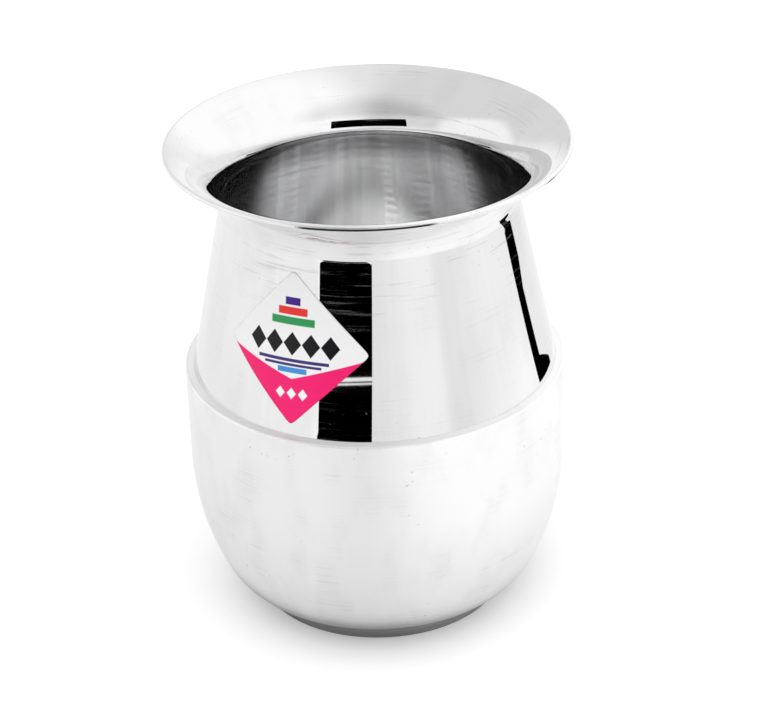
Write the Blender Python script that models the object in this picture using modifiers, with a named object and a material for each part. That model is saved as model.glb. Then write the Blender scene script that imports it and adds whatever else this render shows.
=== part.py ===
"""Stainless-steel lota: a one-litre water vessel made of two sheets welded at the belly, on a foot ring."""

import math

import bmesh
import bpy
from mathutils import Matrix, Vector
from mathutils.geometry import interpolate_bezier

# Driving dimensions in metres, angles in radians
SHEET = 0.0007                            # steel sheet of both shells
CLEARANCE = 0.0003                        # gap kept between pieces that touch
FOOT_HEIGHT = 0.0033
FOOT_WALL = 0.0012
FOOT_EDGE = 0.0003                        # rounding of the hoop's edges
FOOT_INSET = 0.0194                       # how far the foot stands in from the belly
FOOT_WELD_LEG = 0.0012
BOTTOM_RISE = 0.0012                      # how far the middle of the bottom is pushed up
RISE_INSET = 0.0030                       # flat border between the knuckle and the pushed-up middle
KNUCKLE_CURVE = 0.0194                    # radius between the bottom and the bowl's side
KNUCKLE_TUCK = 0.0060                     # how far inside the foot the knuckle begins
BELLY_RADIUS = 0.0576
WALL_START = 0.0490                       # height where the bowl's upright wall begins
SEAM_HEIGHT = 0.0786                      # top edge of the bowl
LAP = 0.0080                              # depth of the upper body inside the bowl
LEDGE = 0.0023                            # bowl's inside to the middle of the upper sheet, at the seam
WELD_DROP = 0.0002                        # how far the weld lies below the bowl's edge
WELD_DEPTH = 0.0025
WELD_CROWN = 0.0002
NECK_RISE = 0.0529                        # height of the neck above the seam
NECK_RADIUS = 0.0444
NECK_CURVE = 0.0080                       # bend of the sheet at the neck
NECK_TURN = math.radians(16.0)            # how far the bend leans out above the neck
FLARE_HEIGHT = 0.0175                     # height of the mouth above the neck
FLARE_WIDTH = 0.0156                      # how far the lip stands out from the neck
NECK_HANDLE = 0.0072                      # how long the mouth keeps its lean above the bend
LIP_HANDLE = 0.0072                       # how long the mouth keeps straight before the lip
LIP_SLOPE = math.radians(20.0)
HEM_GAP = 0.0003                          # slit left inside the folded lip
HEM_WIDTH = 0.0030                        # width of the folded-under strip
LABEL_FILM = 0.0002
LABEL_MARGIN = 0.0037                     # bare steel above and below the label
LABEL_AZIMUTH = math.radians(-27.8)       # from the front, to the left
LABEL_TURN = math.radians(47.0)           # the square label stands on a corner, a little turned

# How finely the round shapes are divided
TURN_STEPS = 64
HEM_POINTS = 7
MOUTH_POINTS = 10
NECK_POINTS = 5
EDGE_POINTS = 5
SIDE_POINTS = 8
KNUCKLE_POINTS = 6
DOME_POINTS = 4
HOOP_CORNER_POINTS = 3
FILLET_POINTS = 4
LABEL_CELLS = 12
LABEL_CORNER_POWER = 26                   # higher is a sharper corner
MERGE_DISTANCE = 0.000001

# Worked-out dimensions
foot_radius = BELLY_RADIUS - FOOT_INSET
bowl_inner_radius = BELLY_RADIUS - SHEET
hoop_corner = Vector((foot_radius - FOOT_WALL + FOOT_EDGE, FOOT_HEIGHT - FOOT_EDGE))
knuckle_radius = foot_radius - KNUCKLE_TUCK
knuckle_reach = KNUCKLE_CURVE + CLEARANCE + FOOT_EDGE
knuckle_lift = math.sqrt(knuckle_reach ** 2 - (hoop_corner.x - knuckle_radius) ** 2)
knuckle_centre = Vector((knuckle_radius, hoop_corner.y + knuckle_lift))
bottom_height = knuckle_centre.y - KNUCKLE_CURVE
neck_height = SEAM_HEIGHT + NECK_RISE
rim_radius = NECK_RADIUS + FLARE_WIDTH
total_height = neck_height + FLARE_HEIGHT
hem_turn = (SHEET + HEM_GAP) / 2
half_sheet = SHEET / 2
neck_centre = Vector((NECK_RADIUS - half_sheet + NECK_CURVE, neck_height))
ledge = Vector((bowl_inner_radius - LEDGE, SEAM_HEIGHT))
seat = Vector((bowl_inner_radius - CLEARANCE - half_sheet, SEAM_HEIGHT - LAP))
cone_reach = neck_centre - ledge
cone_lean = math.atan2(cone_reach.y, cone_reach.x) - math.acos(NECK_CURVE / cone_reach.length)
cone_top = neck_centre - NECK_CURVE * Vector((math.cos(cone_lean), math.sin(cone_lean)))


def arc(centre, radius, start, end, count):
    """Points on a circle about centre, from one angle to another, both ends included."""
    angles = [start + (end - start) * i / (count - 1) for i in range(count)]
    return [Vector((centre[0] + radius * math.cos(a), centre[1] + radius * math.sin(a))) for a in angles]


def offset(path, distance):
    """The path moved sideways to its left, each corner mitred."""
    moved = []
    for i, point in enumerate(path):
        before = (point - path[i - 1]).normalized() if i > 0 else (path[1] - point).normalized()
        after = (path[i + 1] - point).normalized() if i < len(path) - 1 else before
        left = Vector((-(before + after).y, (before + after).x)).normalized()
        moved.append(point + left * distance / left.dot(Vector((-before.y, before.x))))
    return moved


def finish(name, colour, roughness, metallic):
    """Material with one colour and polish, bare metal or not."""
    material = bpy.data.materials.new(name)
    material.use_nodes = True
    shader = material.node_tree.nodes["Principled BSDF"]
    shader.inputs["Base Color"].default_value = (*colour, 1.0)
    shader.inputs["Metallic"].default_value = metallic
    shader.inputs["Roughness"].default_value = roughness
    return material


def add_piece(name, mesh, material):
    """Link a mesh as a piece of the lota."""
    piece = bpy.data.objects.new(name, mesh)
    piece.parent = axis
    mesh.materials.append(material)
    collection.objects.link(piece)
    return piece


def turned(name, outline, material, closed=True):
    """Turn an outline of radius and height, which runs down its outer side, about the Z axis."""
    edges = [(i, i + 1) for i in range(len(outline) - 1)]
    if closed:
        edges.append((len(outline) - 1, 0))
    mesh = bpy.data.meshes.new(name)
    mesh.from_pydata([(r, 0.0, z) for r, z in outline], edges, [])
    piece = add_piece(name, mesh, material)
    screw = piece.modifiers.new("turn", "SCREW")
    screw.axis = "Z"
    screw.steps = TURN_STEPS
    screw.render_steps = TURN_STEPS
    screw.use_merge_vertices = True
    screw.merge_threshold = MERGE_DISTANCE
    screw.use_smooth_shade = True
    return piece


def outer_radius(upper, lower, height):
    """Radius, at a height, of the outer face of the straight sheet between two points of its middle line."""
    run = upper - lower
    return upper.x + (half_sheet * run.length - run.x * (upper.y - height)) / run.y


def upper_body():
    """Hemmed lip, trumpet mouth, neck, cone and lap, as one sheet followed from the hem's free edge down."""
    lip = hem_turn + half_sheet
    fold = Vector((rim_radius - lip, total_height - lip))
    outward = Vector((math.cos(LIP_SLOPE), math.sin(LIP_SLOPE)))
    path = arc(fold, hem_turn, LIP_SLOPE - math.pi / 2, LIP_SLOPE + math.pi / 2, HEM_POINTS)
    path.insert(0, path[0] - outward * (HEM_WIDTH - lip))

    bend = arc(neck_centre, NECK_CURVE, math.pi - NECK_TURN, math.pi + cone_lean, NECK_POINTS)
    lip_handle = path[-1] - outward * LIP_HANDLE
    neck_handle = bend[0] + Vector((math.sin(NECK_TURN), math.cos(NECK_TURN))) * NECK_HANDLE
    mouth = interpolate_bezier(path[-1], lip_handle, neck_handle, bend[0], MOUTH_POINTS)
    path += [Vector(point[:2]) for point in mouth[1:-1]] + bend + [ledge, seat]
    turned("upper_body", offset(path, half_sheet) + offset(path, -half_sheet)[::-1], polished_upper)


def lower_bowl():
    """Drawn cup: round top edge, upright wall, curved side, knuckle and a bottom that is pushed up."""
    inset = BELLY_RADIUS - knuckle_radius
    climb = WALL_START - knuckle_centre.y
    side_curve = (inset ** 2 + climb ** 2 - KNUCKLE_CURVE ** 2) / (2 * (inset - KNUCKLE_CURVE))
    turn = math.asin(climb / (side_curve - KNUCKLE_CURVE))
    rise_radius = knuckle_radius - RISE_INSET
    dome = (rise_radius ** 2 + BOTTOM_RISE ** 2) / (2 * BOTTOM_RISE)
    dome_angle = math.asin(rise_radius / dome)

    def face(depth):
        """Outer face of the cup, or a face at a depth inside it."""
        side_centre = (BELLY_RADIUS - side_curve, WALL_START)
        dome_centre = (0, bottom_height + BOTTOM_RISE - dome)
        points = [Vector((BELLY_RADIUS - depth, SEAM_HEIGHT - half_sheet))]
        points += arc(side_centre, side_curve - depth, 0, -turn, SIDE_POINTS)
        points += arc(knuckle_centre, KNUCKLE_CURVE - depth, -turn, -math.pi / 2, KNUCKLE_POINTS)[1:]
        points += arc(dome_centre, dome + depth, math.pi / 2 - dome_angle, math.pi / 2, DOME_POINTS)
        points[-1].x = 0
        return points

    edge_centre = (BELLY_RADIUS - half_sheet, SEAM_HEIGHT - half_sheet)
    edge = arc(edge_centre, half_sheet, math.pi, 0, EDGE_POINTS)[1:-1]
    turned("lower_bowl", face(SHEET)[::-1] + edge + face(0), polished_bowl, closed=False)


def belly_weld():
    """Ring of weld metal in the groove between the lap and the bowl's top edge."""
    top = SEAM_HEIGHT - WELD_DROP
    low = top - WELD_DEPTH
    outer = bowl_inner_radius - CLEARANCE
    inner_top = outer_radius(ledge, seat, top) + CLEARANCE
    outline = [
        (outer, top),
        (outer, low),
        (outer_radius(ledge, seat, low) + CLEARANCE, low),
        (inner_top, top),
        ((inner_top + outer) / 2, top + WELD_CROWN),
    ]
    turned("belly_weld", outline, weld_metal)


def foot_ring():
    """Low hoop under the bowl, with rounded edges."""
    outer = foot_radius - FOOT_EDGE
    quarter = math.pi / 2
    corners = [(outer, hoop_corner.y), (outer, FOOT_EDGE), (hoop_corner.x, FOOT_EDGE), hoop_corner]
    outline = []
    for i, centre in enumerate(corners):
        outline += arc(centre, FOOT_EDGE, (1 - i) * quarter, -i * quarter, HOOP_CORNER_POINTS)
    turned("foot_ring", outline, polished_foot)


def under_knuckle(radius):
    """Height, at a radius, of a face that keeps clear of the knuckle above it."""
    return knuckle_centre.y - math.sqrt((KNUCKLE_CURVE + CLEARANCE) ** 2 - (radius - knuckle_radius) ** 2)


def foot_weld():
    """Hollow fillet of weld metal in the corner between the hoop and the knuckle, on the inside."""
    outer = foot_radius - FOOT_WALL - CLEARANCE
    inner = outer - FOOT_WELD_LEG
    low = under_knuckle(outer) - FOOT_WELD_LEG
    rise = under_knuckle(inner) - low
    quarter = arc((0, 0), 1, 0, math.pi / 2, FILLET_POINTS)
    fillet = [(inner + FOOT_WELD_LEG * share.x, low + rise * share.y) for share in quarter]
    turned("foot_weld", [(outer, under_knuckle(outer))] + fillet, weld_metal_foot)


def label():
    """Square film label on a corner, rolled onto the cone midway between the seam and the neck."""
    middle = (SEAM_HEIGHT + cone_top.y) / 2
    diagonal = (cone_top.y - SEAM_HEIGHT) / math.cos(cone_lean) - 2 * LABEL_MARGIN
    half_side = diagonal / 2 / math.sqrt(2) * 2 ** (1 / LABEL_CORNER_POWER)
    base_radius = outer_radius(cone_top, ledge, middle)
    turn = Matrix.Rotation(LABEL_TURN, 2)

    form = bmesh.new()
    bmesh.ops.create_grid(form, x_segments=LABEL_CELLS, y_segments=LABEL_CELLS, size=1.0)
    for vertex in form.verts:
        across, up = vertex.co.xy
        square = max(abs(across), abs(up))
        power_sum = abs(across) ** LABEL_CORNER_POWER + abs(up) ** LABEL_CORNER_POWER
        length = power_sum ** (1 / LABEL_CORNER_POWER)
        shrink = half_side * square / length if length else 0.0
        flat = turn @ Vector((across * shrink, up * shrink))
        climb = flat.y - flat.x ** 2 * math.sin(cone_lean) / (2 * base_radius)
        height = middle + climb * math.cos(cone_lean)
        steel_radius = outer_radius(cone_top, ledge, height)
        radius = steel_radius + CLEARANCE
        azimuth = LABEL_AZIMUTH + flat.x / steel_radius
        vertex.co = (radius * math.sin(azimuth), -radius * math.cos(azimuth), height)
    mesh = bpy.data.meshes.new("label")
    form.to_mesh(mesh)
    form.free()
    mesh.shade_smooth()
    piece = add_piece("label", mesh, label_film)
    solidify = piece.modifiers.new("film", "SOLIDIFY")
    solidify.thickness = LABEL_FILM
    solidify.offset = 1.0


for old in list(bpy.data.objects):
    bpy.data.objects.remove(old)
collection = bpy.data.collections.new("Lota")
bpy.context.scene.collection.children.link(collection)
axis = bpy.data.objects.new("lota_axis", None)
collection.objects.link(axis)

polished_upper = finish("polished_upper", (0.74, 0.74, 0.74), 0.10, 1.0)
polished_bowl = finish("polished_bowl", (0.76, 0.76, 0.76), 0.14, 1.0)
polished_foot = finish("polished_foot", (0.70, 0.70, 0.70), 0.16, 1.0)
weld_metal = finish("weld_metal", (0.70, 0.70, 0.69), 0.22, 1.0)
weld_metal_foot = finish("weld_metal_foot", (0.55, 0.54, 0.52), 0.40, 1.0)
label_film = finish("label_film", (0.90, 0.89, 0.88), 0.30, 0.0)

upper_body()
lower_bowl()
belly_weld()
foot_ring()
foot_weld()
label()
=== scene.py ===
"""Looks of a polished steel lota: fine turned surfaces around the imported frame, in a white studio."""

import math

import bpy
import numpy as np
from mathutils import Matrix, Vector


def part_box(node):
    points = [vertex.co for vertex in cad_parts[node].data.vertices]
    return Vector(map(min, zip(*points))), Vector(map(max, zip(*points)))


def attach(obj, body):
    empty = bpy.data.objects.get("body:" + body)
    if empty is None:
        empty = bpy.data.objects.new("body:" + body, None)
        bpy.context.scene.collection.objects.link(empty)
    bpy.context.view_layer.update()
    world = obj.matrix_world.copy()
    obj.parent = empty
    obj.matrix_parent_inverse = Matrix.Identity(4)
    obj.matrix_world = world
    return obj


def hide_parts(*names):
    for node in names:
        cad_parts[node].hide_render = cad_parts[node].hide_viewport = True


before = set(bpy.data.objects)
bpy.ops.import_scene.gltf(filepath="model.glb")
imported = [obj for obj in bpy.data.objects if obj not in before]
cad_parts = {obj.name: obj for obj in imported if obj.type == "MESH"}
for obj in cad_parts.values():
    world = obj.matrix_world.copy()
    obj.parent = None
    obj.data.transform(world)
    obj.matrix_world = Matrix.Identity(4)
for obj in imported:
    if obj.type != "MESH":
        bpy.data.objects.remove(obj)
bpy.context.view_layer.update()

# Lower bowl
# A deep-drawn steel cup: upright wall, curved side, a knuckle that tucks in over the hoop and a middle pushed
# up a little. Bright outside with the cloudiness of a hand mop, satin inside. The hoop and the upper body are
# welded to it.
sheet = 0.0007
belly_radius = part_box("lower_bowl")[1].x
seam_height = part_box("lower_bowl")[1].z
bottom_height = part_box("lower_bowl")[0].z
foot_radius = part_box("foot_ring")[1].x
wall_start = 0.0490
knuckle_curve = 0.0194
knuckle_tuck = 0.0060
rise_border = 0.0030
bottom_rise = 0.0012
axis_gap = 0.00001
turn_steps = 224
sharp_turn = 40.0

# The marks and the painted shade of polished_steel fade between these distances from the axis, heights and
# sideways places.
fluted_radii = (0.010, 0.036)
clean_heights, clean_sides = (0.132, 0.137), (0.0, -0.02)
painted_band_heights = (0.121, 0.130)
lip_shade_middle, lip_shade_reach = -0.015, (0.34, 0.28)


class Wire:
    """An output socket that is used like a number: sums and products on it add Math nodes."""

    def __init__(self, tree, socket=None):
        self.tree = tree
        self.socket = socket

    def node(self, kind, settings=None, inputs=None, output=0):
        """Add a node: its settings first, then each input is linked or set. One output comes back."""
        made = self.tree.nodes.new(kind)
        for key, value in (settings or {}).items():
            setattr(made, key, value)
        for key, value in (inputs or {}).items():
            self.feed(made.inputs[key], value)
        return Wire(self.tree, made.outputs[output])

    def feed(self, socket, value):
        """Link a wire to a socket, or set the socket to a plain value."""
        if isinstance(value, Wire):
            self.tree.links.new(value.socket, socket)
        else:
            socket.default_value = value

    def maths(self, operation, first, second=0.0):
        """A Math node on one or two values."""
        return self.node("ShaderNodeMath", {"operation": operation}, {0: first, 1: second})

    def __add__(self, other):
        return self.maths("ADD", self, other)

    def __sub__(self, other):
        return self.maths("SUBTRACT", self, other)

    def __rsub__(self, other):
        return self.maths("SUBTRACT", other, self)

    def __mul__(self, other):
        return self.maths("MULTIPLY", self, other)

    def __abs__(self):
        return self.maths("ABSOLUTE", self)

    __radd__ = __add__
    __rmul__ = __mul__

    def ramp(self, low, high):
        """0 below low, 1 above high, a smooth step between; the other way round where high is the lower."""
        span = {"From Min": min(low, high), "From Max": max(low, high)}
        ends = {"To Min": float(low > high), "To Max": float(low < high)}
        settings = {"interpolation_type": "SMOOTHSTEP"}
        return self.node("ShaderNodeMapRange", settings, {"Value": self, **span, **ends})

    def part(self, axis):
        """One coordinate of a vector."""
        return self.node("ShaderNodeSeparateXYZ", inputs={0: self}, output=axis)

    def noise(self, vector, scale, detail):
        """Noise from 0 to 1 over a vector."""
        return self.node("ShaderNodeTexNoise", inputs={"Vector": vector, "Scale": scale, "Detail": detail})

    def grey(self, tint=1.0):
        """A colour of this brightness, with the blue multiplied by a tint."""
        return self.node("ShaderNodeCombineColor", inputs={"Red": self, "Green": self, "Blue": self * tint})


def new_material(name):
    """A material with nodes: itself, the sockets of its shader and a wire to start from."""
    material = bpy.data.materials.new(name)
    material.use_nodes = True
    return material, material.node_tree.nodes["Principled BSDF"].inputs, Wire(material.node_tree)


def placed(name, data):
    """A new object for a mesh or a camera, linked to the scene."""
    made = bpy.data.objects.new(name, data)
    bpy.context.scene.collection.objects.link(made)
    return made


def arc(centre, radius, start, end, count):
    """Centre plus radius times the cosine and sine of count angles, evenly from start to end, in degrees."""
    angle = np.radians(np.linspace(start, end, count))
    return np.stack([centre[0] + radius * np.cos(angle), centre[1] + radius * np.sin(angle)], axis=1)


def run(start, end, count):
    """Evenly spaced points between two points, the ends left out."""
    share = np.linspace(0.0, 1.0, count + 2)[1:-1, None]
    return np.asarray(start) * (1.0 - share) + np.asarray(end) * share


def turned(name, outline, **fields):
    """Carry an outline round the Z axis: point (r, z) at turn a goes to (r cos a, r sin a, z). The outline
    runs down its outer side and closes on itself. Its length from the first point is kept as the attribute
    along, and each field as one more, with a value per point."""
    turn = np.linspace(0.0, 2.0 * np.pi, turn_steps, endpoint=False)
    radius, height = outline[:, :1], outline[:, 1:]
    grid = np.stack([radius * np.cos(turn), radius * np.sin(turn), height + 0.0 * turn], axis=2)
    rows, columns = grid.shape[:2]
    index = np.arange(rows * columns).reshape(rows, columns)
    below, beside = np.roll(index, -1, axis=0), np.roll(index, -1, axis=1)
    faces = np.stack([index, below, np.roll(below, -1, axis=1), beside], axis=2).reshape(-1, 4)
    mesh = bpy.data.meshes.new(name)
    mesh.from_pydata(grid.reshape(-1, 3), [], faces)
    along = np.concatenate([[0.0], np.cumsum(np.linalg.norm(np.diff(outline, axis=0), axis=1))])
    for field, values in {"along": along, **fields}.items():
        mesh.attributes.new(field, "FLOAT", "POINT").data.foreach_set("value", np.repeat(values, columns))
    mesh.shade_smooth()
    mesh.set_sharp_from_angle(angle=math.radians(sharp_turn))
    return placed(name, mesh)


def polished_steel(name, tone, roughness, line_depth, marks, scored=None, inner=None):
    """Polished steel: fine lines of a depth in metres run round the axis, with smears and a few pits, as
    strong as marks says. Scored lines come in between two heights, and leave out the left of the flare. Where
    the attribute ground is 1 it is only ground. Where inside is 1 the face has the tone and roughness of
    inner, with the rings and flutes that spinning left; their streaks and glints are also painted into the
    colour as painted reflection, and painted shade darkens it in a band below the neck. Where crease is 1 the
    front is painted black, as painted shade in the crevice under the lip."""
    material, sockets, start = new_material(name)
    place = start.node("ShaderNodeTexCoord", output="Object")
    along = start.node("ShaderNodeAttribute", {"attribute_name": "along"}, output="Fac")
    level = start.node("ShaderNodeVectorMath", {"operation": "MULTIPLY"}, {0: place, 1: (1.0, 1.0, 0.0)})
    facing = start.node("ShaderNodeVectorMath", {"operation": "NORMALIZE"}, {0: level})

    def round_noise(around, up, detail):
        """Noise over the turned surface: finer round the axis by around, and down the outline by up."""
        vector = start.node("ShaderNodeCombineXYZ", inputs={
            "X": facing.part("X") * around, "Y": facing.part("Y") * around, "Z": along * up})
        return start.noise(vector, 1.0, detail)

    lines = round_noise(2.2, 1500.0, 4.0)
    rings = round_noise(1.2, 420.0, 2.0)
    smears = round_noise(5.0, 45.0, 3.0).ramp(0.42, 0.72)
    pits = start.noise(place, 800.0, 1.0).ramp(0.70, 0.76) * start.noise(place, 50.0, 1.0).ramp(0.56, 0.66)
    worn = lines.ramp(0.52, 0.78) * smears
    shade = 1.0 - 0.10 * marks * worn - 0.05 * marks * smears - 0.22 * marks * pits
    matt = roughness + 0.02 * worn + 0.10 * pits
    metal = 1.0 - 0.06 * worn
    height = (lines * 0.35 + rings) * line_depth
    if scored:
        scores = round_noise(1.6, 900.0, 3.0).ramp(0.56, 0.66) * round_noise(4.0, 90.0, 2.0).ramp(0.40, 0.60)
        clean = place.part("Z").ramp(*clean_heights) * place.part("X").ramp(*clean_sides)
        scores = scores * place.part("Z").ramp(*scored) * (1.0 - clean)
        shade = shade - 0.16 * scores
        metal = metal - 0.10 * scores
    if inner:
        ground, inside, crease = (
            start.node("ShaderNodeAttribute", {"attribute_name": field}, output="Fac")
            for field in ("ground", "inside", "crease"))
        # Painted shade: the front of the crease under the lip is painted black for the shade in the crevice
        # under the hem.
        in_front = abs(facing.part("X") - lip_shade_middle).ramp(*lip_shade_reach)
        painted_lip_shade = crease * in_front * facing.part("Y").ramp(0.0, -0.5)
        off_axis = start.node("ShaderNodeVectorMath", {"operation": "LENGTH"}, {0: level}, 1)
        flutes = 0.5 + off_axis.ramp(*fluted_radii) * (round_noise(11.0, 7.0, 3.0) - 0.5)
        wave = start.maths("SINE", along * 2100.0 + round_noise(3.0, 60.0, 1.0) * 9.0)
        ripples = wave * round_noise(6.0, 14.0, 1.0).ramp(0.45, 0.62)
        # Painted shade: the inside is painted darker in a band just below the neck.
        painted_neck_band = place.part("Z").ramp(*painted_band_heights)
        # Painted reflection: besides their bumps, the flutes' dark streaks and the rings' bright dashes are
        # painted into the colour.
        painted_groove_glints = 0.14 * flutes.ramp(0.62, 0.38) - 0.08 * ripples
        dull = 1.0 - inner["tone"] / tone + painted_groove_glints + 0.62 * painted_neck_band
        shade = shade * (1.0 - inside * dull + 0.15 * ground) * (1.0 - 0.99 * painted_lip_shade)
        matt = matt + inside * (inner["roughness"] - roughness) + 0.5 * ground + 0.85 * painted_lip_shade
        metal = metal * (1.0 - painted_lip_shade)
        height = height + inside * (ripples * inner["ring_depth"] + flutes * inner["flute_depth"])
    colour = (shade * tone).grey(1.005)
    colour.feed(sockets["Base Color"], colour)
    matt.feed(sockets["Roughness"], matt)
    metal.feed(sockets["Metallic"], metal)
    bump = start.node("ShaderNodeBump", inputs={"Strength": 1.0, "Distance": 1.0, "Height": height})
    bump.feed(sockets["Normal"], bump)
    return material


def finish_piece(piece, node, material):
    """Give a piece its material and let it ride in place of its CAD node."""
    piece.data.materials.append(material)
    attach(piece, "root")
    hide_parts(node)


# The side's arc has its centre level with the wall's lower end and runs on into the knuckle's arc: their
# centres lie the difference of their radii apart, which gives the side's radius. The dome is the cap of a
# ball whose radius is the squares of border and rise, added, over twice the rise.
knuckle_radius = foot_radius - knuckle_tuck
knuckle_height = bottom_height + knuckle_curve
inset = belly_radius - knuckle_radius
climb = wall_start - knuckle_height
side_curve = (inset ** 2 + climb ** 2 - knuckle_curve ** 2) / (2 * (inset - knuckle_curve))
side_turn = math.degrees(math.asin(climb / (side_curve - knuckle_curve)))
dome_border = knuckle_radius - rise_border
dome_curve = (dome_border ** 2 + bottom_rise ** 2) / (2 * bottom_rise)
dome_turn = math.degrees(math.asin(dome_border / dome_curve))


def cup_face(depth):
    """Outer face of the cup from below its edge to the axis, or the face at a depth inside it."""
    top = np.array([[belly_radius - depth, seam_height - sheet]])
    side = arc((belly_radius - side_curve, wall_start), side_curve - depth, 0, -side_turn, 48)
    knuckle = arc((knuckle_radius, knuckle_height), knuckle_curve - depth, -side_turn, -90, 36)
    dome = arc((0.0, bottom_height + bottom_rise - dome_curve), dome_curve + depth, 90 - dome_turn, 90, 16)
    dome[-1, 0] = axis_gap
    wall, border = run(top[0], side[0], 24), run(knuckle[-1], dome[0], 4)
    return np.concatenate([top, wall, side, knuckle[1:], border, dome])


cup_edge = arc((belly_radius - sheet, seam_height - sheet), sheet, 90, 0, 12)[:-1]
cup_outer, cup_inner = cup_face(0.0), cup_face(sheet)
cup = np.concatenate([cup_edge, cup_outer, cup_inner[::-1]])
cup_rows = np.arange(len(cup))
cup_ground = np.where(cup_rows < len(cup_edge), 1.0, 0.0)
cup_inside = np.where(cup_rows >= len(cup_edge) + len(cup_outer), 1.0, 0.0)
bowl_steel = polished_steel(
    "bowl_steel", tone=0.84, roughness=0.07, line_depth=1e-7, marks=1.2,
    inner={"tone": 0.95, "roughness": 0.18, "ring_depth": 4e-6, "flute_depth": 1e-5})
bowl = turned("bowl", cup, ground=cup_ground, inside=cup_inside)
finish_piece(bowl, "lower_bowl", bowl_steel)

# Foot ring
# A hoop of thin steel strip, its ends butted and ground, duller than the bowl, and its low tone is painted
# shade from the bowl's overhang. The pot stands on its lower edge, and the bowl's knuckle sits in its upper
# one.
foot_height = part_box("foot_ring")[1].z
foot_wall = 0.0012
foot_edge = 0.0003
outer, inner = foot_radius - foot_edge, foot_radius - foot_wall + foot_edge
upper, lower = foot_height - foot_edge, foot_edge
hoop = np.concatenate([
    arc((outer, upper), foot_edge, 90, 0, 8),
    arc((outer, lower), foot_edge, 0, -90, 8),
    arc((inner, lower), foot_edge, -90, -180, 8),
    arc((inner, upper), foot_edge, -180, -270, 8)])
# Painted shade: the hoop's tone is set low for the shade under the bowl.
shaded_foot_steel = polished_steel("shaded_foot_steel", tone=0.44, roughness=0.18, line_depth=4e-7, marks=1.0)
finish_piece(turned("foot_hoop", hoop), "foot_ring", shaded_foot_steel)

# Foot weld
# The bead inside the hoop, run round the corner under the knuckle by hand and left as it came from the torch:
# dull grey weld metal, unpolished because nobody sees it.
weld_leg = 0.0012
contact_gap = 0.00008
bead_outer = foot_radius - foot_wall - contact_gap
bead_inner = bead_outer - weld_leg


def under_knuckle(radius):
    """Height just under the knuckle: its centre less the upright side of the triangle to that radius."""
    return knuckle_height - math.sqrt((knuckle_curve + contact_gap) ** 2 - (radius - knuckle_radius) ** 2)


# The open face is hollow: a quarter of an ellipse from the hoop's wall up to the knuckle.
bead_low = under_knuckle(bead_outer) - weld_leg
bead_rise = under_knuckle(bead_inner) - bead_low
hollow = arc((0.0, 0.0), 1.0, 0, 90, 12) * (weld_leg, bead_rise) + (bead_inner, bead_low)
bead = np.concatenate([[[bead_outer, under_knuckle(bead_outer)]], hollow])
bead_steel = polished_steel("bead_steel", tone=0.34, roughness=0.42, line_depth=2e-6, marks=1.6)
finish_piece(turned("foot_bead", bead), "foot_weld", bead_steel)

# Upper body
# One sheet spun over a former: a lip folded under to a round hem, a trumpet mouth, a tight bend at the neck
# and a cone that goes down inside the bowl. The spinning and polishing lines run round it.
rim_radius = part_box("upper_body")[1].x
total_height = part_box("upper_body")[1].z
seat_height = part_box("upper_body")[0].z
lap_gap = 0.0003
ledge_width = 0.0023
neck_radius = 0.0444
neck_height = 0.1315
neck_curve = 0.0080
neck_turn = 16.0
mouth_handle = 0.0072
lip_slope = 20.0
hem_gap = 0.0003
hem_width = 0.0030
seat_lift = 0.00007
satin_start = 0.0015
satin_blend = 0.0020
crease_facing = -31.0
crease_half = 35.0
lip_grinding = 0.6


def direction(degrees):
    """Unit vector at an angle: its cosine and its sine."""
    return np.array([math.cos(math.radians(degrees)), math.sin(math.radians(degrees))])


def curve(points, count):
    """Cubic curve: the four points weighted by (1-t)^3, 3(1-t)^2 t, 3(1-t) t^2 and t^3."""
    t = np.linspace(0.0, 1.0, count)[:, None]
    return np.hstack([(1 - t) ** 3, 3 * (1 - t) ** 2 * t, 3 * (1 - t) * t ** 2, t ** 3]) @ np.array(points)


def both_faces(path, thickness):
    """A sheet's two faces: the path moved half a thickness to its left and to its right."""
    heading = np.gradient(path, axis=0)
    heading /= np.linalg.norm(heading, axis=1)[:, None]
    aside = np.stack([-heading[:, 1], heading[:, 0]], axis=1) * thickness / 2
    return path + aside, path - aside


# The sheet's middle line runs from the hem's end round the fold, down the mouth and the neck's bend, and
# along the cone to the ledge and the seat. The cone touches the bend: its lean is the angle of the line from
# the ledge to the bend's centre, less the angle whose cosine is the bend's radius over that line's length.
fold_curve = (sheet + hem_gap) / 2
lip_inset = fold_curve + sheet / 2
fold_centre = np.array([rim_radius - lip_inset, total_height - lip_inset])
fold = arc(fold_centre, fold_curve, lip_slope - 90, lip_slope + 90, 26)
hem_start = fold[0] - direction(lip_slope) * (hem_width - lip_inset)
neck_centre = np.array([neck_radius - sheet / 2 + neck_curve, neck_height])
seat = np.array([belly_radius - sheet - lap_gap - sheet / 2, seat_height + seat_lift])
ledge = np.array([belly_radius - sheet - ledge_width, seam_height])
reach = neck_centre - ledge
cone_lean = math.degrees(math.atan2(reach[1], reach[0]) - math.acos(neck_curve / np.linalg.norm(reach)))
bend = arc(neck_centre, neck_curve, 180 - neck_turn, 180 + cone_lean, 30)
lip_handle = fold[-1] - direction(lip_slope) * mouth_handle
neck_handle = bend[0] + direction(90 - neck_turn) * mouth_handle
mouth = curve([fold[-1], lip_handle, neck_handle, bend[0]], 64)
spun = np.concatenate([
    [hem_start], run(hem_start, fold[0], 5), fold, mouth[1:-1], bend, run(bend[-1], ledge, 60),
    [ledge], run(ledge, seat, 8), [seat]])
left_face, right_face = both_faces(spun, sheet)
body = np.concatenate([left_face, right_face[::-1]])


def on_right_face(values):
    """A field in the body's order: zero on the left face, then the right face's values backwards."""
    return np.concatenate([np.zeros(len(left_face)), values[::-1]])


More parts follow.
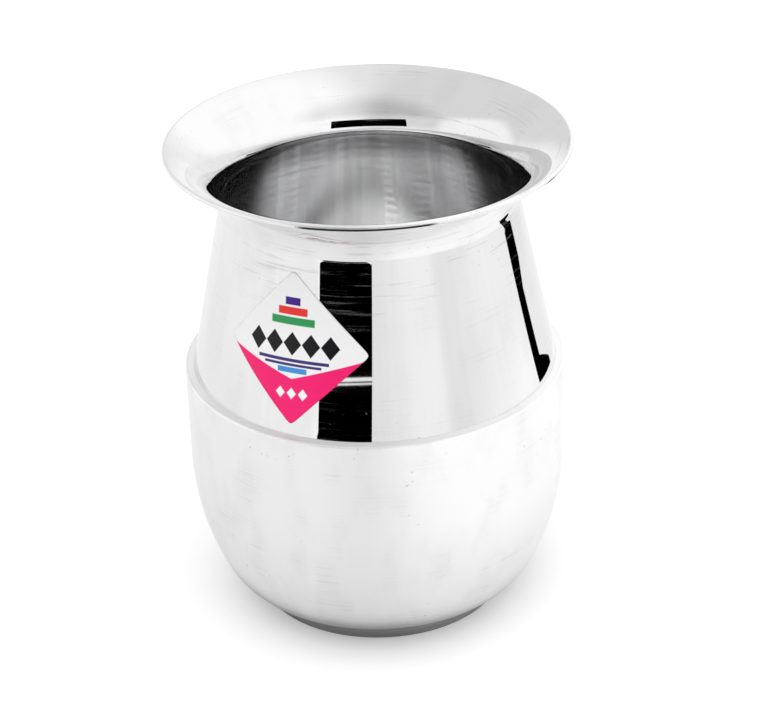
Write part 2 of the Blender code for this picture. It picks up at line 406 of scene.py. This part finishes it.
below_neck = np.clip((neck_height + satin_start - right_face[:, 1]) / satin_blend, 0.0, 1.0)
from_fold = right_face - fold_centre
fold_facing = np.degrees(np.arctan2(from_fold[:, 1], from_fold[:, 0]))
round_lip = right_face[:, 0] > fold_centre[0]
# The fold's underside in the crease carries the painted shade line; the rest of the round lip is ground.
under_lip = round_lip & (np.abs(fold_facing - crease_facing) < crease_half)
upper_steel = polished_steel(
    "upper_steel", tone=0.80, roughness=0.018, line_depth=2e-7, marks=0.8, scored=(0.102, 0.126),
    inner={"tone": 0.95, "roughness": 0.18, "ring_depth": 8e-6, "flute_depth": 2e-5})
spun_body = turned(
    "spun_body", body,
    inside=on_right_face(below_neck),
    crease=on_right_face(np.where(under_lip, 1.0, 0.0)),
    ground=on_right_face(np.where(round_lip & ~under_lip, lip_grinding, 0.0)))
finish_piece(spun_body, "upper_body", upper_steel)

# Belly weld
# The two sheets are joined by a weld run round the belly, in the groove between the lap and the bowl's edge.
# It is ground flush with that edge and left bright and satin, so only a thin line shows.
weld_gap = 0.00002
weld_climb = 0.0002
weld_depth = 0.0027


def outer_face(upper_end, lower_end, height):
    """Radius of a straight sheet's outer face at a height: its middle line's, plus half a sheet cut level."""
    fall = upper_end - lower_end
    level_half = sheet / 2 * np.linalg.norm(fall) / fall[1]
    return upper_end[0] - fall[0] / fall[1] * (upper_end[1] - height) + level_half


weld_low = seam_height - weld_depth
weld_outside = belly_radius - sheet - weld_gap
weld_inside = outer_face(ledge, seat, seam_height + weld_climb) + weld_gap
weld_inside_low = outer_face(ledge, seat, weld_low) + weld_gap
share = np.linspace(0.0, 1.0, 14)
crown = np.column_stack([
    weld_inside + (weld_outside - weld_inside) * share,
    seam_height + weld_climb * (1.0 - share)])
weld_ring = np.concatenate([crown, [[weld_outside, weld_low], [weld_inside_low, weld_low]]])
weld_steel = polished_steel("weld_steel", tone=0.94, roughness=0.45, line_depth=4e-7, marks=0.3)
finish_piece(turned("belly_seam", weld_ring), "belly_weld", weld_steel)

# Label
# A square film label, printed and semi-gloss, stuck to the cone left of the front with one corner down. The
# print is a plain trade pattern: a pink chevron, two rows of lozenges, rules and small bars of colour.
label_half_diagonal = 0.02245
label_azimuth = math.radians(-27.8)
label_turn = 2.0
label_corner_power = 26
label_lift = 0.00004
label_film = 0.00010
label_cells = 72
cone_top = bend[-1]
label_height = (seam_height + cone_top[1]) / 2


def open_sheet(name, grid):
    """An object with a four-sided face between each four neighbours of a grid of points."""
    index = np.arange(grid.shape[0] * grid.shape[1]).reshape(grid.shape[:2])
    faces = np.stack([index[:-1, :-1], index[:-1, 1:], index[1:, 1:], index[1:, :-1]], axis=2).reshape(-1, 4)
    mesh = bpy.data.meshes.new(name)
    mesh.from_pydata(grid.reshape(-1, 3), [], faces)
    return placed(name, mesh)


# The flat film: a square grid, pulled in towards rounded corners by the ratio of each point's distance in the
# square to its distance in a superellipse, and turned by 45 degrees on to a corner.
side = np.linspace(-1.0, 1.0, label_cells + 1)
across, up = np.meshgrid(side, side)
square = np.maximum(np.abs(across), np.abs(up))
power_sum = np.abs(across) ** label_corner_power + np.abs(up) ** label_corner_power
rounded = power_sum ** (1 / label_corner_power)
half_side = label_half_diagonal / math.sqrt(2) * 2 ** (1 / label_corner_power)
shrink = half_side * np.where(rounded > 0, square / np.where(rounded > 0, rounded, 1.0), 1.0)
print_x = shrink * (across - up) / math.sqrt(2)
print_y = shrink * (across + up) / math.sqrt(2)
turn_x, turn_y = direction(label_turn)
flat_x = print_x * turn_x - print_y * turn_y
flat_y = print_x * turn_y + print_y * turn_x

# Laid on the cone: a flat x goes round by x over the steel's radius, and a flat y goes up the cone's side,
# less the sag of a level line there, which is x squared times the sine of the lean over twice the radius.
lean = math.radians(cone_lean)
sag = flat_x ** 2 * math.sin(lean) / (2 * outer_face(cone_top, ledge, label_height))
film_height = label_height + (flat_y - sag) * math.cos(lean)
steel_radius = outer_face(cone_top, ledge, film_height)
film_radius = steel_radius + label_lift
film_turn = label_azimuth + flat_x / steel_radius
film = np.stack([film_radius * np.sin(film_turn), -film_radius * np.cos(film_turn), film_height], axis=2)
label_piece = open_sheet("label_film", film)
label_piece.data.shade_smooth()
print_place = label_piece.data.attributes.new("print_place", "FLOAT_VECTOR", "POINT")
printed = np.stack([print_x, print_y, 0.0 * print_x], axis=2) / label_half_diagonal
print_place.data.foreach_set("vector", printed.reshape(-1))
thicken = label_piece.modifiers.new("film", "SOLIDIFY")
thicken.thickness = label_film
thicken.offset = 1.0


def printed_film():
    """White film with its print, each motif a mask on the flat place, in half diagonals from the middle."""
    material, sockets, start = new_material("printed_film")
    spot = start.node("ShaderNodeAttribute", {"attribute_name": "print_place"}, output="Vector")
    x, y = spot.part("X"), spot.part("Y")
    soft = 0.012

    def bar(middle_x, middle_y, half_width, half_height):
        """1 inside an upright rectangle, with a soft edge."""
        wide = abs(x - middle_x).ramp(half_width + soft, half_width)
        return wide * abs(y - middle_y).ramp(half_height + soft, half_height)

    def lozenges(middle_y, pitch, half_width, half_height, reach):
        """1 inside each lozenge of a level row, repeated by its pitch as far as reach."""
        cell = start.maths("PINGPONG", x, pitch / 2)
        shape = cell * (1.0 / half_width) + abs(y - middle_y) * (1.0 / half_height)
        return shape.ramp(1.0 + soft / half_width, 1.0) * abs(x).ramp(reach + soft, reach)

    chevron = (abs(x) * 0.34 - y).ramp(0.40, 0.40 + soft)
    motifs = [
        (chevron, (0.88, 0.012, 0.16)),
        (lozenges(-0.60, 0.16, 0.06, 0.07, 0.24), (0.90, 0.88, 0.88)),
        (lozenges(0.06, 0.26, 0.12, 0.15, 0.65), (0.007, 0.006, 0.008)),
        (bar(0.0, -0.16, 0.50, 0.016), (0.05, 0.03, 0.18)),
        (bar(0.0, -0.22, 0.40, 0.012), (0.05, 0.03, 0.18)),
        (bar(0.0, 0.62, 0.10, 0.045), (0.055, 0.012, 0.22)),
        (bar(0.0, 0.49, 0.20, 0.045), (0.78, 0.035, 0.03)),
        (bar(0.0, 0.36, 0.30, 0.045), (0.03, 0.30, 0.09)),
        (bar(0.0, -0.29, 0.20, 0.030), (0.05, 0.27, 0.66)),
    ]
    colour = (0.86, 0.855, 0.86, 1.0)
    for mask, ink in motifs:
        colour = start.node(
            "ShaderNodeMix", {"data_type": "RGBA"}, {"Factor": mask, 6: colour, 7: (*ink, 1.0)}, 2)
    colour.feed(sockets["Base Color"], colour)
    sockets["Roughness"].default_value = 0.30
    sockets["Specular IOR Level"].default_value = 0.20
    return material


finish_piece(label_piece, "label", printed_film())

# Floor
# A white table, plain and matt, that keeps the pot's shadow. To the camera it is lifted a little, so that it
# reaches the white of the background a short way from the pot.
floor_half = 3.0
floor_x, floor_y = np.meshgrid([-floor_half, floor_half], [-floor_half, floor_half])
floor = open_sheet("floor", np.stack([floor_x, floor_y, 0.0 * floor_x], axis=2))


def turn_from_front(x, y):
    """Azimuth of a place or a sight line, in degrees, from the front towards +X."""
    return x.maths("ARCTAN2", x, y * -1.0) * math.degrees(1.0)


def one_fold(azimuth, centre, outer, inner=0.0):
    """1 within inner degrees of a centre, falling to 0 at outer degrees."""
    return abs(azimuth - centre).ramp(outer, inner)


def cloth_folds(x, y):
    """How much greyer the white cloth round the table is: broad folds, one with a sharp front edge, one white
    edge at the left, and finer folds all round."""
    azimuth = turn_from_front(x, y)
    middle = one_fold(azimuth, 3.0, 27.0)
    right = azimuth.ramp(39.0, 47.0) * azimuth.ramp(84.0, 46.0)
    side = one_fold(azimuth, 135.0, 28.0, 14.0)
    edge = one_fold(azimuth, -35.2, 3.2, 1.6)
    fine = x.noise(azimuth * math.radians(1.0), 9.0, 2.0) - 0.5
    return 0.13 * middle + 0.13 * right + 0.09 * side - 0.08 * edge + 0.10 * fine


def sight_rays(start):
    """1 on rays that see the stage as background, straight or through glass, and 1 on rays off the steel."""
    camera_ray = start.node("ShaderNodeLightPath", output="Is Camera Ray")
    clear_ray = start.node("ShaderNodeLightPath", output="Is Transmission Ray")
    return camera_ray + clear_ray, start.node("ShaderNodeLightPath", output="Is Glossy Ray")


def white_floor():
    """Matt white, lifted a little to the eye. The steel sees it greyer on the left, painted brighter near the
    pot on the right and painted darker close round the foot as painted shadow, with a broad fold near in
    front and the others far off."""
    material, sockets, start = new_material("white_floor")
    sockets["Roughness"].default_value = 0.9
    sockets["Specular IOR Level"].default_value = 0.0
    seen, glossy_ray = sight_rays(start)
    place = start.node("ShaderNodeTexCoord", output="Object")
    x, y = place.part("X"), place.part("Y")
    reach = start.maths("SQRT", x * x + y * y)
    far = reach.ramp(0.30, 0.50)
    broad = one_fold(turn_from_front(x, y), -6.0, 30.0)
    folds = far * cloth_folds(x, y) + 0.07 * (1.0 - far) * broad
    # Painted light: the steel sees the floor brighter near the pot on the right.
    right = x.ramp(-0.03, 0.12) * y.ramp(0.16, 0.06)
    # Painted shadow: the steel sees the floor darker close round the foot, less so at the right.
    shadow = reach.ramp(0.056, 0.042) * (0.32 - 0.20 * x.ramp(0.0, 0.04))
    greyer = 0.11 - 0.03 * far - right * (0.16 - 0.13 * far) + 0.85 * folds + shadow
    base = (0.95 - glossy_ray * greyer).grey()
    base.feed(sockets["Base Color"], base)
    lift = (seen * 0.13 + glossy_ray * 0.06).grey()
    lift.feed(sockets["Emission Color"], lift)
    sockets["Emission Strength"].default_value = 1.0
    return material


floor.data.materials.append(white_floor())

# Studio
# A white room, brightest overhead, lights everything. The steel also sees what stands round the table: soft
# folds in the white cloth, a greyer side on the left, black cards in front and a dark strip at the right,
# which nothing else sees.


def white_room():
    """White to the camera. Its light is strongest overhead, a little to the front, and some comes level from
    all sides. The steel sees it over-bright on the right, greyer on the left, in front above and in the back
    corner at the right, with a window low on the left and upright folds near the horizon."""
    world = bpy.data.worlds.new("white_room")
    bpy.context.scene.world = world
    world.use_nodes = True
    room = world.node_tree.nodes["Background"].inputs
    start = Wire(world.node_tree)
    seen, glossy_ray = sight_rays(start)
    sight = start.node("ShaderNodeTexCoord", output="Generated")
    x, y, z = sight.part("X"), sight.part("Y"), sight.part("Z")
    above = z.ramp(0.05, 0.30)
    near_horizon = 1.06 + 0.05 * x.ramp(-0.30, 0.30) - cloth_folds(x, y)
    right_side = x.ramp(-0.25, 0.35)
    front_ceiling = y.ramp(-0.30, -0.70) * z.ramp(0.40, 0.62)
    back_corner = y.ramp(0.80, 0.95) * x.ramp(0.0, 0.20)
    left_window = x.ramp(-0.72, -0.86) * z.ramp(0.58, 0.46)
    overhead = 0.83 + 0.39 * right_side - 0.24 * front_ceiling - 0.16 * back_corner + 0.28 * left_window
    mirrored = near_horizon + above * (overhead - near_horizon)
    lamp = start.maths("POWER", start.maths("MAXIMUM", 0.985 * z - 0.17 * y, 0.0), 4.0)
    light = 0.25 + 1.85 * lamp + 0.60 * x * x + 0.50 * y * y
    colour = (seen + glossy_ray * mirrored + (1.0 - seen - glossy_ray) * light).grey()
    colour.feed(room["Color"], colour)
    room["Strength"].default_value = 1.0


white_room()


def black_card(name, grid):
    """A black sheet through a grid of points, seen by glossy rays only."""
    material, sockets, _ = new_material(name)
    sockets["Base Color"].default_value = (0.0, 0.0, 0.0, 1.0)
    sockets["Roughness"].default_value = 1.0
    sockets["Specular IOR Level"].default_value = 0.0
    card = open_sheet(name, grid)
    card.data.materials.append(material)
    card.visible_camera = False
    card.visible_diffuse = False
    card.visible_shadow = False
    card.visible_transmission = False


def around(azimuth, height, distance):
    """Points at azimuths from the front towards +X, in degrees, at a height and a distance from the axis."""
    turn = np.radians(azimuth)
    return np.stack([distance * np.sin(turn), -distance * np.cos(turn), height + 0.0 * turn], axis=-1)


card_distance = 0.40
card_share = np.linspace(0.0, 1.0, 24)


def standing_card(name, distance, low, high, left, right, sag=0.0):
    """A card bent round the axis between two heights, with its left and right azimuth at each. Its level
    lines hang down by sag times the square of the azimuth."""
    rows = []
    for height, start, end in zip((low, high), left, right):
        azimuth = start + (end - start) * card_share
        rows.append(around(azimuth, height - sag * azimuth ** 2, distance))
    black_card(name, np.stack(rows))


slit_left, slit_left_widening, slit_left_height = -32.75, 38.0, 0.0533
slit_right, slit_right_widening, slit_right_height = -2.74, 44.0, 0.0404
slit_sag = 7.5e-6


def slit_card(name, low, high, flare=0.0):
    """One panel of the dark slit that is seen in the cone. Its left azimuth moves out by so many degrees a
    metre above one height, its right azimuth at all heights, and the foot's left corner by the flare."""
    levels = np.array([low, high])
    climbed = np.maximum(levels - slit_left_height, 0.0)
    left = slit_left - slit_left_widening * climbed - np.array([flare, 0.0])
    right = slit_right + slit_right_widening * (levels - slit_right_height)
    standing_card(name, card_distance, low, high, left, right, sag=slit_sag)


slit_card("slit_foot", 0.0260, 0.0400, flare=4.0)
slit_card("slit_low", 0.0400, 0.0598)
slit_card("slit_line", 0.0606, 0.0613)
slit_card("slit_high", 0.0630, 0.1700)
standing_card(
    "camera_bar", card_distance, low=0.2350, high=0.3450, left=(-32.0, -32.0), right=(29.0, 29.0))

# The dark strip on the table at the right, between two azimuths in degrees: even in the middle, wider far
# off, with a knob at its near end.
strip_height = 0.001
strip_near, strip_far = 0.215, 0.56
strip_from, strip_to = 110.6, 118.2
knob_start, knob_length = 0.285, 0.05
knob_left, knob_right = 2.5, 12.0
spread_start, spread_length = 0.395, 0.035
spread_right = 3.4
strip_reach = np.linspace(strip_near, strip_far, 70)
far_widening = np.clip((strip_reach - spread_start) / spread_length, 0.0, 1.0)
near_widening = np.clip((knob_start - strip_reach) / knob_length, 0.0, 1.0)
strip_left = strip_from + knob_left * near_widening ** 2
strip_right = strip_to + spread_right * far_widening + knob_right * near_widening
strip_azimuth = strip_left[:, None] + (strip_right - strip_left)[:, None] * card_share
black_card("side_strip", around(strip_azimuth, strip_height, strip_reach[:, None]))

# Camera
# The photograph's view: from the front, 28 degrees up, with a long lens and a slight roll. Angles are in
# radians, and the focal length is in pixels of the photograph's width.
view_elevation = 0.49049
view_roll = -0.03324
view_distance = 0.761434
view_target = np.array([0.0013257, 0.0, 0.0776347])
focal_pixels = 2500.0
picture_width = 758.0
sensor_width = 36.0
forward = np.array([0.0, math.cos(view_elevation), -math.sin(view_elevation)])
level_right = np.array([1.0, 0.0, 0.0])
level_up = np.cross(level_right, forward)
right = math.cos(view_roll) * level_right + math.sin(view_roll) * level_up
upward = math.cos(view_roll) * level_up - math.sin(view_roll) * level_right
lens = bpy.data.cameras.new("camera")
lens.sensor_width = sensor_width
lens.lens = sensor_width * focal_pixels / picture_width
camera = placed("camera", lens)
stand = np.eye(4)
stand[:3, :] = np.column_stack([right, upward, -forward, view_target - view_distance * forward])
camera.matrix_world = Matrix(stand.tolist())
bpy.context.scene.camera = camera
bpy.context.scene.view_settings.view_transform = "Standard"
